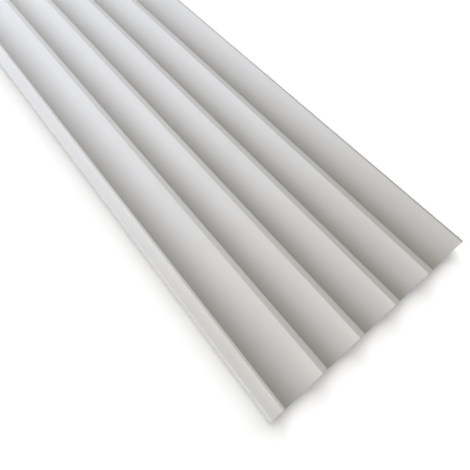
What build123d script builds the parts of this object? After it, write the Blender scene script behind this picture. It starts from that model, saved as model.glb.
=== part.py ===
from build123d import *
import os

# Fluted wall panel, lying on its flat back with the fluted face up.
# X runs across the panel, Y along it and Z out of its face. Millimetres.

# Panel
panel_length = 2000.0
panel_thickness = 13.0

# Flutes and the flat lands between them
inner_flute_count = 3
inner_flute_width = 42.8
edge_flute_width = 45.8
flute_depth = 8.0
land_width = 6.0
edge_land_width = 3.0

# Lap joint: the tapered tongue of one panel lies under the edge of the next
tongue_reach = 13.0
tongue_nose_thickness = 3.5
tongue_root_thickness = 5.8
lap_clearance = 0.3

# Rounded arrises
land_arris_radius = 0.5
lap_edge_radius = 2.0
tongue_nose_radius = 1.5


def arc_radius(width, depth):
    """Radius of the arc that spans a width and is this deep in the middle."""
    return (width ** 2 / 4 + depth ** 2) / (2 * depth)


def taper_section(left, right, left_top, right_top):
    """Section that stands on the back and rises evenly from its left side to its right side."""
    return Polygon((left, 0), (right, 0), (right, right_top), (left, left_top), align=None)


# Width that one panel covers on the wall, from the tongue's step to the lap edge
inner_width = inner_flute_count * (inner_flute_width + land_width) + land_width
cover_width = 2 * (edge_land_width + edge_flute_width) + inner_width
left_face = (tongue_reach - cover_width) / 2
right_face = left_face + cover_width

# Flutes: width and middle of each, from the tongue side to the lap side
flute_widths = [edge_flute_width] + [inner_flute_width] * inner_flute_count + [edge_flute_width]
flute_middles = []
flute_start = left_face + edge_land_width
for width in flute_widths:
    flute_middles.append(flute_start + width / 2)
    flute_start += width + land_width

# Section of the panel, drawn with the height as its second direction
section = taper_section(left_face, right_face, panel_thickness, panel_thickness)
for width, middle in zip(flute_widths, flute_middles):
    radius = arc_radius(width, flute_depth)
    section -= Pos(middle, panel_thickness - flute_depth + radius) * Circle(radius)

# Tongue along the left side
tongue_nose = left_face - tongue_reach
section += taper_section(tongue_nose, left_face, tongue_nose_thickness, tongue_root_thickness)

# Rebate under the right side: the next panel's tongue and its clearance
rebate_left = right_face - tongue_reach - lap_clearance
rebate_nose = tongue_nose_thickness + lap_clearance
rebate_root = tongue_root_thickness + lap_clearance
section -= taper_section(rebate_left, right_face, rebate_nose, rebate_root)

# Rounded arrises: the lap's outer edge, the tongue's nose, then every land
face_points = section.vertices().group_by(Axis.Y)[-1].sort_by(Axis.X)
section = fillet(face_points[-1], lap_edge_radius)
nose_points = section.vertices().group_by(Axis.X)[0].sort_by(Axis.Y)
section = fillet(nose_points[-1], tongue_nose_radius)
face_points = section.vertices().group_by(Axis.Y)[-1].sort_by(Axis.X)
section = fillet(face_points[:-1], land_arris_radius)

# Drawn through the full length, with both ends sawn square
panel = extrude(Plane.XZ * section, amount=panel_length / 2, both=True)

os.makedirs("parts", exist_ok=True)
export_step(panel, "parts/fluted_panel.step")
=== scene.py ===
"""Fluted wall panel: its finished surface, and the studio that it is seen in.

The panel is one drawn length of white hard polystyrene foam. It lies on its back with the fluted
face up. X runs across it from the tongue to the lap edge, Y along it and Z out of its face.
"""

import math

import bmesh
import bpy
from mathutils import Matrix, Vector


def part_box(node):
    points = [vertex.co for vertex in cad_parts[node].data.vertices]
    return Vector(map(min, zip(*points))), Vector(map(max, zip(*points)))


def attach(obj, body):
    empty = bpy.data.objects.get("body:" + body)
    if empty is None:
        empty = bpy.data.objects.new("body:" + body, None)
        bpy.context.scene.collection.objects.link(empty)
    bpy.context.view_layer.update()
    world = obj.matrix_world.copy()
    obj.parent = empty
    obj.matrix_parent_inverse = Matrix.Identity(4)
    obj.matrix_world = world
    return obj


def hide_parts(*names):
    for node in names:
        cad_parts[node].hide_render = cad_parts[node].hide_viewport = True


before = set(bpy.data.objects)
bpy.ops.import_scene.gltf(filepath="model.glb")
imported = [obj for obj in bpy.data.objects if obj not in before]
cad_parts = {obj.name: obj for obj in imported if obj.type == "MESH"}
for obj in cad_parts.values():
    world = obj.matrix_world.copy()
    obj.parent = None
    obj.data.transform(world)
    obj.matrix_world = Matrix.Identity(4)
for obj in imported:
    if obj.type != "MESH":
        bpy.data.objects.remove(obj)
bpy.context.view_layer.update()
PANEL_NODE = "fluted_panel"
PANEL_LOW, PANEL_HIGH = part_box(PANEL_NODE)

bl_info = {
    "name": "Fluted wall panel",
    "version": (1, 0, 0),
    "blender": (4, 5, 0),
    "location": "3D View > Sidebar > Fluted panel",
    "description": "Builds a fluted wall panel with its finishes and sets it in a plain studio",
    "category": "Object",
}

MM = 0.001
SHARP_ANGLE = math.radians(25)
PLACE_TOLERANCE = 0.01 * MM
ROUND_SEGMENTS = 4
SKIN_INDEX, SAWN_INDEX = 0, 1
POLYSTYRENE_IOR = 1.5
FLOOR_REACH = 15
FLOOR_GAP = 0.2 * MM
SOFTBOXES = ("low", "side", "top", "fill")
SENSOR_WIDTH = 36
NEAREST_VIEW = 10 * MM


def linear(hex_colour):
    """Linear red, green and blue of an sRGB hex colour."""
    channels = []
    for start in (1, 3, 5):
        value = int(hex_colour[start:start + 2], 16) / 255
        if value <= 0.04045:
            channels.append(value / 12.92)
        else:
            channels.append(((value + 0.055) / 1.055) ** 2.4)
    return tuple(channels)


def opaque(colour):
    """Colour with full opacity, as a shader's socket takes it."""
    return (colour[0], colour[1], colour[2], 1.0)


def add_node(tree, kind, inputs=None, **settings):
    """Adds a node with its settings, and sets or links its inputs."""
    node = tree.nodes.new(kind)
    for name, value in settings.items():
        setattr(node, name, value)
    for name, value in (inputs or {}).items():
        if isinstance(value, bpy.types.NodeSocket):
            tree.links.new(value, node.inputs[name])
        else:
            node.inputs[name].default_value = value
    return node


class PanelSettings(bpy.types.PropertyGroup):
    """Sizes and colours of the panel."""

    inner_flute_count: bpy.props.IntProperty(
        name="Inner flutes", description="Number of flutes between the two edge flutes", default=3)
    inner_flute_width: bpy.props.FloatProperty(
        name="Inner flute width", description="Width of each inner flute between its lands",
        default=42.8 * MM, unit="LENGTH")
    edge_flute_width: bpy.props.FloatProperty(
        name="Edge flute width", description="Width of the first and the last flute",
        default=45.8 * MM, unit="LENGTH")
    flute_depth: bpy.props.FloatProperty(
        name="Flute depth", description="Depth of every flute below the lands",
        default=8.0 * MM, unit="LENGTH")
    land_width: bpy.props.FloatProperty(
        name="Land width", description="Width of the flat lands between flutes",
        default=6.0 * MM, unit="LENGTH")
    edge_land_width: bpy.props.FloatProperty(
        name="Edge land width", description="Width of the narrow land along each long edge",
        default=3.0 * MM, unit="LENGTH")
    tongue_reach: bpy.props.FloatProperty(
        name="Tongue reach", description="How far the tongue stands out of the panel's side",
        default=13.0 * MM, unit="LENGTH")
    tongue_nose_thickness: bpy.props.FloatProperty(
        name="Tongue nose thickness", description="Thickness of the tongue along its outer edge",
        default=3.5 * MM, unit="LENGTH")
    tongue_root_thickness: bpy.props.FloatProperty(
        name="Tongue root thickness",
        description="Thickness of the tongue where it leaves the panel",
        default=5.8 * MM, unit="LENGTH")
    lap_clearance: bpy.props.FloatProperty(
        name="Lap clearance", description="Gap between a tongue and the lap over it",
        default=0.3 * MM, unit="LENGTH")
    land_arris_radius: bpy.props.FloatProperty(
        name="Land arris radius", description="Rounding of the lands' edges",
        default=0.5 * MM, unit="LENGTH")
    lap_edge_radius: bpy.props.FloatProperty(
        name="Lap edge radius", description="Rounding of the lap's outer edge",
        default=2.0 * MM, unit="LENGTH")
    tongue_nose_radius: bpy.props.FloatProperty(
        name="Tongue nose radius", description="Rounding of the tongue's outer edge",
        default=1.5 * MM, unit="LENGTH")
    flute_steps: bpy.props.IntProperty(
        name="Flute steps", description="Number of facets across a flute", default=32)
    skin_colour: bpy.props.FloatVectorProperty(
        name="Skin colour", description="Colour of the drawn skin",
        subtype="COLOR", size=3, default=linear("#dcdbd6"))
    sawn_colour: bpy.props.FloatVectorProperty(
        name="Sawn colour", description="Colour of the foam on the sawn ends",
        subtype="COLOR", size=3, default=linear("#e4e3df"))


class StudioSettings(bpy.types.PropertyGroup):
    """Floor, lamps and camera."""

    floor_colour: bpy.props.FloatVectorProperty(
        name="Floor colour", description="Colour of the studio floor",
        subtype="COLOR", size=3, default=linear("#f2f2f2"))
    floor_lift: bpy.props.FloatProperty(
        name="Floor lift", description="Light added to the floor as seen, which turns it white",
        default=0.28)
    floor_lamp_strengths: bpy.props.FloatVectorProperty(
        name="Floor lamp strengths", description="Brightness of the floor's right and left lamp",
        size=2, default=(11.0, 3.4))
    floor_lamp_azimuth: bpy.props.FloatProperty(
        name="Floor lamp azimuth", description="How far to either side of the far end they stand",
        default=math.radians(60), subtype="ANGLE")
    floor_lamp_elevation: bpy.props.FloatProperty(
        name="Floor lamp elevation", description="Height that they shine from",
        default=math.radians(5), subtype="ANGLE")
    floor_lamp_spread: bpy.props.FloatProperty(
        name="Floor lamp spread", description="Angle that each fills, which softens the shadow",
        default=math.radians(80), subtype="ANGLE")
    room_radiance: bpy.props.FloatProperty(
        name="Room radiance", description="Brightness of the room around the panel", default=0.015)
    room_colour: bpy.props.FloatVectorProperty(
        name="Room colour", description="Colour of the room's own light, a little warm",
        subtype="COLOR", size=3, default=linear("#ffe3a0"))
    softbox_distance: bpy.props.FloatProperty(
        name="Softbox distance", description="Distance of the softboxes from the panel's long axis",
        default=1.4, unit="LENGTH")
    low_box_span: bpy.props.FloatVectorProperty(
        name="Low softbox span", description="Start and end of the low softbox along the panel",
        size=2, default=(-2.0, -0.75), unit="LENGTH")
    low_box_angles: bpy.props.FloatVectorProperty(
        name="Low softbox angles",
        description="Height of its edges, as angles from the tongue side",
        size=2, default=(math.radians(20), math.radians(44)), unit="ROTATION")
    low_box_radiance: bpy.props.FloatProperty(
        name="Low softbox radiance", description="Brightness of the low softbox", default=4.4)
    low_box_colour: bpy.props.FloatVectorProperty(
        name="Low softbox colour", description="Colour of the low softbox, a little warm",
        subtype="COLOR", size=3, default=linear("#fffaea"))
    side_box_span: bpy.props.FloatVectorProperty(
        name="Side softbox span", description="Start and end of the side softbox along the panel",
        size=2, default=(-0.22, 0.9), unit="LENGTH")
    side_box_angles: bpy.props.FloatVectorProperty(
        name="Side softbox angles",
        description="Height of its edges, as angles from the tongue side",
        size=2, default=(math.radians(24), math.radians(80)), unit="ROTATION")
    side_box_radiance: bpy.props.FloatProperty(
        name="Side softbox radiance", description="Brightness of the side softbox", default=5.1)
    side_box_colour: bpy.props.FloatVectorProperty(
        name="Side softbox colour", description="Colour of the side softbox, a little cool",
        subtype="COLOR", size=3, default=linear("#e6ebff"))
    top_box_span: bpy.props.FloatVectorProperty(
        name="Top softbox span", description="Start and end of the top softbox along the panel",
        size=2, default=(-0.24, 0.9), unit="LENGTH")
    top_box_angles: bpy.props.FloatVectorProperty(
        name="Top softbox angles",
        description="Height of its edges, as angles from the tongue side",
        size=2, default=(math.radians(80), math.radians(140)), unit="ROTATION")
    top_box_radiance: bpy.props.FloatProperty(
        name="Top softbox radiance", description="Brightness of the top softbox", default=1.2)
    top_box_colour: bpy.props.FloatVectorProperty(
        name="Top softbox colour", description="Colour of the top softbox",
        subtype="COLOR", size=3, default=linear("#fbfdfa"))
    fill_box_span: bpy.props.FloatVectorProperty(
        name="Fill softbox span", description="Start and end of the fill softbox along the panel",
        size=2, default=(-2.0, -1.15), unit="LENGTH")
    fill_box_angles: bpy.props.FloatVectorProperty(
        name="Fill softbox angles",
        description="Height of its edges, as angles from the tongue side",
        size=2, default=(math.radians(145), math.radians(170)), unit="ROTATION")
    fill_box_radiance: bpy.props.FloatProperty(
        name="Fill softbox radiance", description="Brightness of the fill softbox", default=1.05)
    fill_box_colour: bpy.props.FloatVectorProperty(
        name="Fill softbox colour", description="Colour of the fill softbox, warm",
        subtype="COLOR", size=3, default=linear("#ffd972"))
    camera_place: bpy.props.FloatVectorProperty(
        name="Camera place", description="Where the camera stands", size=3,
        default=(-0.12510, -0.99929, 0.41268), subtype="TRANSLATION", unit="LENGTH")
    camera_azimuth: bpy.props.FloatProperty(
        name="Camera azimuth", description="Heading of the camera, zero along the panel",
        default=math.radians(-34.40), subtype="ANGLE")
    camera_elevation: bpy.props.FloatProperty(
        name="Camera elevation", description="How steeply the camera looks down",
        default=math.radians(63.59), subtype="ANGLE")
    camera_roll: bpy.props.FloatProperty(
        name="Camera roll", description="Turn of the camera about its own line of sight",
        default=math.radians(-5.93), subtype="ANGLE")
    camera_lens: bpy.props.FloatProperty(
        name="Camera lens", description="Focal length on a 36 mm sensor, in millimetres",
        default=31.14)
    camera_shift: bpy.props.FloatVectorProperty(
        name="Camera shift", description="Shift of the frame, as the photo is trimmed off centre",
        size=2, default=(-0.0443, -0.0417))


def arc_radius(width, depth):
    """Radius of the arc that spans a width and is this deep in the middle."""
    return (width ** 2 / 4 + depth ** 2) / (2 * depth)


def line_to(bm, vert, x, z):
    """Draws a straight line on from a vertex and returns its far end."""
    end = bmesh.ops.extrude_vert_indiv(bm, verts=[vert])["verts"][0]
    end.co.x = x
    end.co.z = z
    return end


def arc_to(bm, vert, centre, angle, steps):
    """Draws an arc on from a vertex about a centre in the section and returns its far end."""
    pivot = (centre[0], vert.co.y, centre[1])
    drawn = bmesh.ops.spin(
        bm, geom=[vert], cent=pivot, axis=(0, 1, 0), angle=angle, steps=steps, use_duplicate=False)
    return [item for item in drawn["geom_last"] if isinstance(item, bmesh.types.BMVert)][0]


def draw_section(bm, sizes):
    """Draws the panel's section at its near end and returns the places of the edges to round."""
    near = PANEL_LOW.y
    base = PANEL_LOW.z
    face = PANEL_HIGH.z
    tongue_side = PANEL_LOW.x
    left_face = tongue_side + sizes.tongue_reach
    right_face = PANEL_HIGH.x

    # Tongue, from the floor up its nose, along its tapered top and up the step
    start = bm.verts.new((tongue_side, near, base))
    vert = line_to(bm, start, tongue_side, base + sizes.tongue_nose_thickness)
    nose = vert.co.copy()
    vert = line_to(bm, vert, left_face, base + sizes.tongue_root_thickness)
    vert = line_to(bm, vert, left_face, face)
    arrises = [vert.co.copy()]

    # Flutes between their lands
    widths = [sizes.inner_flute_width] * sizes.inner_flute_count
    widths = [sizes.edge_flute_width] + widths + [sizes.edge_flute_width]
    flute_left = left_face + sizes.edge_land_width
    for width in widths:
        radius = arc_radius(width, sizes.flute_depth)
        centre = (flute_left + width / 2, face - sizes.flute_depth + radius)
        half_angle = math.asin(width / 2 / radius)
        vert = line_to(bm, vert, flute_left, face)
        arrises.append(vert.co.copy())
        vert = arc_to(bm, vert, centre, -2 * half_angle, sizes.flute_steps)
        arrises.append(vert.co.copy())
        flute_left += width + sizes.land_width

    # Lap edge, its tapered underside and the rebate's inner wall
    vert = line_to(bm, vert, right_face, face)
    lap_edge = vert.co.copy()
    rebate_left = right_face - sizes.tongue_reach - sizes.lap_clearance
    vert = line_to(bm, vert, right_face, base + sizes.tongue_root_thickness + sizes.lap_clearance)
    vert = line_to(bm, vert, rebate_left, base + sizes.tongue_nose_thickness + sizes.lap_clearance)
    vert = line_to(bm, vert, rebate_left, base)
    bm.edges.new((vert, start))
    return {
        sizes.land_arris_radius: arrises,
        sizes.lap_edge_radius: [lap_edge],
        sizes.tongue_nose_radius: [nose],
    }


def round_edges(bm, places, radius):
    """Rounds the lengthwise edges that start at these places on the near end."""
    for place in places:
        for edge in bm.edges:
            starts = [vert for vert in edge.verts if (vert.co - place).length < PLACE_TOLERANCE]
            lengthwise = abs(edge.verts[0].co.y - edge.verts[1].co.y) > MM
            if starts and lengthwise:
                offset = radius * math.tan(edge.calc_face_angle() / 2)
                bmesh.ops.bevel(
                    bm, geom=[edge], offset=offset, offset_type="OFFSET", affect="EDGES",
                    segments=ROUND_SEGMENTS, profile=0.5, material=-1)
                break
        else:
            raise RuntimeError(f"no edge to round at {place}")


def skin_material(sizes):
    """Drawn polystyrene foam skin with a white primer.

    It is matte and even, with a soft sheen. The die leaves faint lines along the length, and the
    primer leaves a very fine grain and slow changes of tone.
    """
    line_spacing = 1.2 * MM
    line_length = 500 * MM
    grain_size = 0.7 * MM
    tone_size = 60 * MM
    darkest_tone, lightest_tone = 0.97, 1.03
    least_rough, most_rough = 0.42, 0.54
    relief_depth = 0.02 * MM
    relief_strength = 0.5

    material = bpy.data.materials.new("primed_polystyrene")
    material.use_nodes = True
    tree = material.node_tree
    tree.nodes.clear()
    place = add_node(tree, "ShaderNodeTexCoord")

    # Die lines, which run along the panel
    line_space = add_node(
        tree, "ShaderNodeMapping",
        {"Vector": place.outputs["Object"],
         "Scale": (1 / line_spacing, 1 / line_length, 1 / line_spacing)})
    lines = add_node(
        tree, "ShaderNodeTexNoise",
        {"Vector": line_space.outputs["Vector"], "Scale": 1.0, "Detail": 2.0, "Roughness": 0.6})
    # Primer grain, which is coarser than the real one so that it shows
    grain = add_node(
        tree, "ShaderNodeTexNoise",
        {"Vector": place.outputs["Object"], "Scale": 1 / grain_size, "Detail": 3.0})
    # Slow changes of tone
    tone = add_node(
        tree, "ShaderNodeTexNoise",
        {"Vector": place.outputs["Object"], "Scale": 1 / tone_size, "Detail": 2.0})

    skin = Vector(sizes.skin_colour)
    shade = add_node(
        tree, "ShaderNodeMix", {"Factor": tone.outputs["Fac"]}, data_type="RGBA")
    shade.inputs["A"].default_value = opaque(skin * darkest_tone)
    shade.inputs["B"].default_value = opaque(skin * lightest_tone)
    rough = add_node(
        tree, "ShaderNodeMapRange",
        {"Value": grain.outputs["Fac"], "To Min": least_rough, "To Max": most_rough})
    line_bump = add_node(
        tree, "ShaderNodeBump",
        {"Height": lines.outputs["Fac"], "Strength": relief_strength, "Distance": relief_depth})
    grain_bump = add_node(
        tree, "ShaderNodeBump",
        {"Height": grain.outputs["Fac"], "Strength": relief_strength, "Distance": relief_depth,
         "Normal": line_bump.outputs["Normal"]})
    surface = add_node(
        tree, "ShaderNodeBsdfPrincipled",
        {"Base Color": shade.outputs["Result"], "Roughness": rough.outputs["Result"],
         "IOR": POLYSTYRENE_IOR, "Normal": grain_bump.outputs["Normal"]})
    add_node(tree, "ShaderNodeOutputMaterial", {"Surface": surface.outputs["BSDF"]})
    return material


def sawn_material(sizes):
    """Hard polystyrene foam where the saw has opened it.

    The cut shows small round cells and shallow saw marks, and has no sheen.
    """
    cell_size = 0.6 * MM
    cell_depth = 0.15 * MM
    cell_strength = 0.6
    mark_spacing = 1.6 * MM
    mark_height = 40 * MM
    mark_depth = 0.12 * MM
    mark_strength = 0.5
    darkest_tone, lightest_tone = 0.86, 1.02
    sawn_roughness = 0.85

    material = bpy.data.materials.new("sawn_polystyrene_foam")
    material.use_nodes = True
    tree = material.node_tree
    tree.nodes.clear()
    place = add_node(tree, "ShaderNodeTexCoord")

    # Cells, drawn coarser than the real ones so that they show
    cells = add_node(
        tree, "ShaderNodeTexVoronoi",
        {"Vector": place.outputs["Object"], "Scale": 1 / cell_size})
    # Saw marks, which stand upright
    mark_space = add_node(
        tree, "ShaderNodeMapping",
        {"Vector": place.outputs["Object"], "Scale": (1 / mark_spacing, 1.0, 1 / mark_height)})
    marks = add_node(
        tree, "ShaderNodeTexNoise",
        {"Vector": mark_space.outputs["Vector"], "Scale": 1.0, "Detail": 2.0})

    sawn = Vector(sizes.sawn_colour)
    # Each cell is painted darker towards its middle, where the bump makes a hollow: painted shade
    # in the cell hollows
    shade = add_node(
        tree, "ShaderNodeMix", {"Factor": cells.outputs["Distance"]}, data_type="RGBA")
    shade.inputs["A"].default_value = opaque(sawn * darkest_tone)
    shade.inputs["B"].default_value = opaque(sawn * lightest_tone)
    cell_bump = add_node(
        tree, "ShaderNodeBump",
        {"Height": cells.outputs["Distance"], "Strength": cell_strength, "Distance": cell_depth})
    mark_bump = add_node(
        tree, "ShaderNodeBump",
        {"Height": marks.outputs["Fac"], "Strength": mark_strength, "Distance": mark_depth,
         "Normal": cell_bump.outputs["Normal"]})
    surface = add_node(
        tree, "ShaderNodeBsdfPrincipled",
        {"Base Color": shade.outputs["Result"], "Roughness": sawn_roughness,
         "IOR": POLYSTYRENE_IOR, "Normal": mark_bump.outputs["Normal"]})
    add_node(tree, "ShaderNodeOutputMaterial", {"Surface": surface.outputs["BSDF"]})
    return material


class FLUTED_PANEL_OT_panel(bpy.types.Operator):
    """Draw the panel's section, run it out to length and give it its finishes"""

    bl_idname = "fluted_panel.panel"
    bl_label = "Build panel"

    def execute(self, context):
        sizes = context.scene.fluted_panel_sizes
        bm = bmesh.new()
        rounded = draw_section(bm, sizes)
        near_end = bmesh.ops.contextual_create(bm, geom=bm.edges[:])["faces"][0]
        drawn = bmesh.ops.extrude_face_region(bm, geom=[near_end], use_keep_orig=True)
        far_verts = [item for item in drawn["geom"] if isinstance(item, bmesh.types.BMVert)]
        bmesh.ops.translate(bm, verts=far_verts, vec=(0, PANEL_HIGH.y - PANEL_LOW.y, 0))
        bmesh.ops.recalc_face_normals(bm, faces=bm.faces[:])
        for radius, places in rounded.items():
            round_edges(bm, places, radius)
        for bm_face in bm.faces:
            bm_face.smooth = True
            on_end = abs(bm_face.normal.y) > 0.5
            bm_face.material_index = SAWN_INDEX if on_end else SKIN_INDEX

        mesh = bpy.data.meshes.new("panel_body")
        bm.to_mesh(mesh)
        bm.free()
        mesh.set_sharp_from_angle(angle=SHARP_ANGLE)
        mesh.materials.append(skin_material(sizes))
        mesh.materials.append(sawn_material(sizes))
        panel = bpy.data.objects.new("panel_body", mesh)
        context.scene.collection.objects.link(panel)
        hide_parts(PANEL_NODE)
        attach(panel, "root")
        return {"FINISHED"}


def seen_directly(tree):
    """One for rays that show a surface or its mirror image, and zero for rays that light others."""
    path = add_node(tree, "ShaderNodeLightPath")
    mirrored = add_node(
        tree, "ShaderNodeMath",
        {0: path.outputs["Is Camera Ray"], 1: path.outputs["Is Glossy Ray"]}, operation="ADD")
    shown = add_node(
        tree, "ShaderNodeMath",
        {0: mirrored.outputs["Value"], 1: path.outputs["Is Transmission Ray"]},
        operation="ADD", use_clamp=True)
    return shown.outputs["Value"]


def floor_material(studio):
    """Matte white studio floor. It keeps the panel's shadow and looks white where none falls."""
    material = bpy.data.materials.new("studio_floor")
    material.use_nodes = True
    tree = material.node_tree
    tree.nodes.clear()
    matte = add_node(
        tree, "ShaderNodeBsdfDiffuse", {"Color": opaque(studio.floor_colour)})
    lift = add_node(
        tree, "ShaderNodeMath", {0: seen_directly(tree), 1: studio.floor_lift},
        operation="MULTIPLY")
    glow = add_node(tree, "ShaderNodeEmission", {"Strength": lift.outputs["Value"]})
    both = add_node(
        tree, "ShaderNodeAddShader", {0: matte.outputs["BSDF"], 1: glow.outputs["Emission"]})
    add_node(tree, "ShaderNodeOutputMaterial", {"Surface": both.outputs["Shader"]})
    return material


class FLUTED_PANEL_OT_studio(bpy.types.Operator):
    """Lay the floor, set the lamps and stand the camera"""

    bl_idname = "fluted_panel.studio"
    bl_label = "Set studio"

    def execute(self, context):
        studio = context.scene.fluted_panel_studio
        floor = self.lay_floor(context, studio)
        self.light_room(context, studio)
        self.hang_floor_lamps(context, studio, floor)
        for name in SOFTBOXES:
            self.hang_softbox(context, studio, name)
        self.stand_camera(context, studio)
        context.scene.view_settings.view_transform = "Standard"
        return {"FINISHED"}

    def lay_floor(self, context, studio):
        bm = bmesh.new()
        bmesh.ops.create_grid(bm, x_segments=1, y_segments=1, size=FLOOR_REACH)
        bmesh.ops.translate(bm, verts=bm.verts[:], vec=(0, 0, PANEL_LOW.z - FLOOR_GAP))
        mesh = bpy.data.meshes.new("floor")
        bm.to_mesh(mesh)
        bm.free()
        mesh.materials.append(floor_material(studio))
        floor = bpy.data.objects.new("floor", mesh)
        context.scene.collection.objects.link(floor)
        return floor

    def light_room(self, context, studio):
        world = bpy.data.worlds.new("room")
        context.scene.world = world
        world.use_nodes = True
        tree = world.node_tree
        tree.nodes.clear()
        white = add_node(tree, "ShaderNodeBackground", {"Strength": 1.0})
        white.inputs["Color"].default_value = opaque((1.0, 1.0, 1.0))
        glow = add_node(tree, "ShaderNodeBackground", {"Strength": studio.room_radiance})
        glow.inputs["Color"].default_value = opaque(studio.room_colour)
        room = add_node(
            tree, "ShaderNodeMixShader",
            {0: seen_directly(tree), 1: glow.outputs["Background"], 2: white.outputs["Background"]})
        add_node(tree, "ShaderNodeOutputWorld", {"Surface": room.outputs["Shader"]})

    def hang_floor_lamps(self, context, studio, floor):
        """The floor has lamps of its own, so that it is white with no more light on the panel."""
        elevation = studio.floor_lamp_elevation
        sides = (("right", studio.floor_lamp_azimuth), ("left", -studio.floor_lamp_azimuth))
        for (side, azimuth), strength in zip(sides, studio.floor_lamp_strengths):
            lamp = bpy.data.lights.new(f"{side}_floor_lamp", "SUN")
            lamp.energy = strength
            lamp.angle = studio.floor_lamp_spread
            floor_lamp = bpy.data.objects.new(f"{side}_floor_lamp", lamp)
            away = Vector((
                math.sin(azimuth) * math.cos(elevation),
                math.cos(azimuth) * math.cos(elevation),
                math.sin(elevation)))
            floor_lamp.matrix_world = away.to_track_quat("Z", "Y").to_matrix().to_4x4()
            context.scene.collection.objects.link(floor_lamp)
            self.light_only(floor_lamp, [floor])

    def hang_softbox(self, context, studio, name):
        """A flat softbox that faces the panel's long axis."""
        start, end = getattr(studio, f"{name}_box_span")
        low, high = getattr(studio, f"{name}_box_angles")
        lamp = bpy.data.lights.new(f"{name}_softbox", "AREA")
        lamp.shape = "RECTANGLE"
        lamp.size = end - start
        lamp.size_y = 2 * studio.softbox_distance * math.tan((high - low) / 2)
        lamp.energy = getattr(studio, f"{name}_box_radiance") * math.pi * lamp.size * lamp.size_y
        lamp.color = getattr(studio, f"{name}_box_colour")
        softbox = bpy.data.objects.new(f"{name}_softbox", lamp)
        along = Vector((0, 1, 0))
        away = Vector((-math.cos((low + high) / 2), 0, math.sin((low + high) / 2)))
        turn = Matrix((along, away.cross(along), away)).transposed()
        middle = Vector((0, (start + end) / 2, PANEL_HIGH.z)) + away * studio.softbox_distance
        softbox.matrix_world = Matrix.Translation(middle) @ turn.to_4x4()
        context.scene.collection.objects.link(softbox)
        self.light_only(softbox, [bpy.data.objects["panel_body"]])

    def light_only(self, lamp, lit):
        """Lets a lamp light only these objects. Every object still casts its shadow."""
        receivers = bpy.data.collections.new(f"lit_by_{lamp.name}")
        for item in lit:
            receivers.objects.link(item)
        lamp.light_linking.receiver_collection = receivers

    def stand_camera(self, context, studio):
        lens = bpy.data.cameras.new("camera")
        lens.sensor_width = SENSOR_WIDTH
        lens.lens = studio.camera_lens
        lens.shift_x, lens.shift_y = studio.camera_shift
        lens.clip_start = NEAREST_VIEW
        camera = bpy.data.objects.new("camera", lens)
        azimuth = studio.camera_azimuth
        elevation = studio.camera_elevation
        back = Vector((
            math.sin(azimuth) * math.cos(elevation),
            -math.cos(azimuth) * math.cos(elevation),
            math.sin(elevation)))
        level = back.to_track_quat("Z", "Y").to_matrix()
        camera.matrix_world = (
            Matrix.Translation(studio.camera_place)
            @ (level @ Matrix.Rotation(studio.camera_roll, 3, "Z")).to_4x4())
        context.scene.collection.objects.link(camera)
        context.scene.camera = camera


class FLUTED_PANEL_PT_sidebar(bpy.types.Panel):
    """Lists the panel's operators and settings"""

    bl_idname = "FLUTED_PANEL_PT_sidebar"
    bl_label = "Fluted panel"
    bl_space_type = "VIEW_3D"
    bl_region_type = "UI"
    bl_category = "Fluted panel"

    def draw(self, context):
        column = self.layout.column()
        column.operator(FLUTED_PANEL_OT_panel.bl_idname)
        for name in PanelSettings.__annotations__:
            column.prop(context.scene.fluted_panel_sizes, name)
        column.operator(FLUTED_PANEL_OT_studio.bl_idname)
        for name in StudioSettings.__annotations__:
            column.prop(context.scene.fluted_panel_studio, name)


CLASSES = (
    PanelSettings,
    StudioSettings,
    FLUTED_PANEL_OT_panel,
    FLUTED_PANEL_OT_studio,
    FLUTED_PANEL_PT_sidebar,
)


def register():
    for kind in CLASSES:
        bpy.utils.register_class(kind)
    bpy.types.Scene.fluted_panel_sizes = bpy.props.PointerProperty(type=PanelSettings)
    bpy.types.Scene.fluted_panel_studio = bpy.props.PointerProperty(type=StudioSettings)


def unregister():
    del bpy.types.Scene.fluted_panel_studio
    del bpy.types.Scene.fluted_panel_sizes
    for kind in reversed(CLASSES):
        bpy.utils.unregister_class(kind)


def main():
    register()
    bpy.ops.fluted_panel.panel()
    bpy.ops.fluted_panel.studio()


if __name__ == "__main__":
    main()
